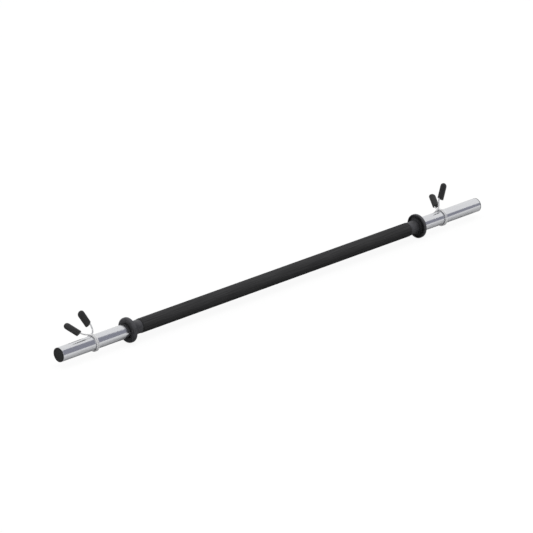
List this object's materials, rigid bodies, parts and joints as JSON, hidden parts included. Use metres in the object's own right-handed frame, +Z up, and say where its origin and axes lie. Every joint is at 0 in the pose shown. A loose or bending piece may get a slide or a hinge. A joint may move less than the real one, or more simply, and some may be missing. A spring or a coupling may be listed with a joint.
{
  "type": "aerobic barbell",
  "caption": "Light one-piece exercise bar with a foam grip, chromed plate sleeves, moulded stop collars and sliding spring collars that squeeze open.",
  "frame": {"origin": "middle of the bar, on the bar's axis", "axes": "+X along the bar to the end that is further away in the picture, +Z up, -Y the side that faces the picture's camera"},
  "size_m": [1.2, 0.0821, 0.0971],
  "materials": {
    "plain_steel": "satin",
    "chromed_steel": "polished",
    "plated_spring_steel": "polished",
    "black_foam": "matte",
    "black_nylon": "satin",
    "dipped_vinyl": "matte"
  },
  "bodies": {
    "bar": {"core_tube": "plain_steel", "foam_grip": "black_foam", "left_sleeve": "chromed_steel", "left_stop_collar": "black_nylon", "left_end_cap": "black_nylon", "left_sleeve_pin": "plain_steel", "left_hub_screw": "plain_steel", "right_sleeve": "chromed_steel", "right_stop_collar": "black_nylon", "right_end_cap": "black_nylon", "right_sleeve_pin": "plain_steel", "right_hub_screw": "plain_steel"},
    "left_collar": {"left_spring_coil": "plated_spring_steel"},
    "left_outer_arm": {"left_outer_arm": "plated_spring_steel", "left_outer_grip": "dipped_vinyl"},
    "left_inner_arm": {"left_inner_arm": "plated_spring_steel", "left_inner_grip": "dipped_vinyl"},
    "right_collar": {"right_spring_coil": "plated_spring_steel"},
    "right_outer_arm": {"right_outer_arm": "plated_spring_steel", "right_outer_grip": "dipped_vinyl"},
    "right_inner_arm": {"right_inner_arm": "plated_spring_steel", "right_inner_grip": "dipped_vinyl"}
  },
  "joints": [
    {"name": "left_collar_slide", "type": "slide", "parent": "bar", "child": "left_collar", "axis": [-1, 0, 0], "range_m": [-0.0828, 0.101]},
    {"name": "left_inner_squeeze", "type": "hinge", "parent": "left_collar", "child": "left_inner_arm", "pos_m": [-0.509, 0, 0], "axis": [-1, 0, 0], "range_deg": [0, 16], "stiffness_Nm_per_rad": 9.5, "springref_deg": -5.73, "deforming": ["left_spring_coil"]},
    {"name": "left_outer_squeeze", "type": "hinge", "parent": "left_collar", "child": "left_outer_arm", "pos_m": [-0.509, 0, 0], "axis": [1, 0, 0], "range_deg": [0, 16], "stiffness_Nm_per_rad": 9.5, "springref_deg": -5.73, "deforming": ["left_spring_coil"]},
    {"name": "right_collar_slide", "type": "slide", "parent": "bar", "child": "right_collar", "axis": [1, 0, 0], "range_m": [-0.0623, 0.1215]},
    {"name": "right_inner_squeeze", "type": "hinge", "parent": "right_collar", "child": "right_inner_arm", "pos_m": [0.4885, 0, 0], "axis": [-1, 0, 0], "range_deg": [0, 16], "stiffness_Nm_per_rad": 9.5, "springref_deg": -5.73, "deforming": ["right_spring_coil"]},
    {"name": "right_outer_squeeze", "type": "hinge", "parent": "right_collar", "child": "right_outer_arm", "pos_m": [0.4885, 0, 0], "axis": [1, 0, 0], "range_deg": [0, 16], "stiffness_Nm_per_rad": 9.5, "springref_deg": -5.73, "deforming": ["right_spring_coil"]}
  ],
  "couplings": [
    {"joint": "left_outer_squeeze", "follows": "left_inner_squeeze", "ratio": 1},
    {"joint": "right_outer_squeeze", "follows": "right_inner_squeeze", "ratio": 1}
  ]
}
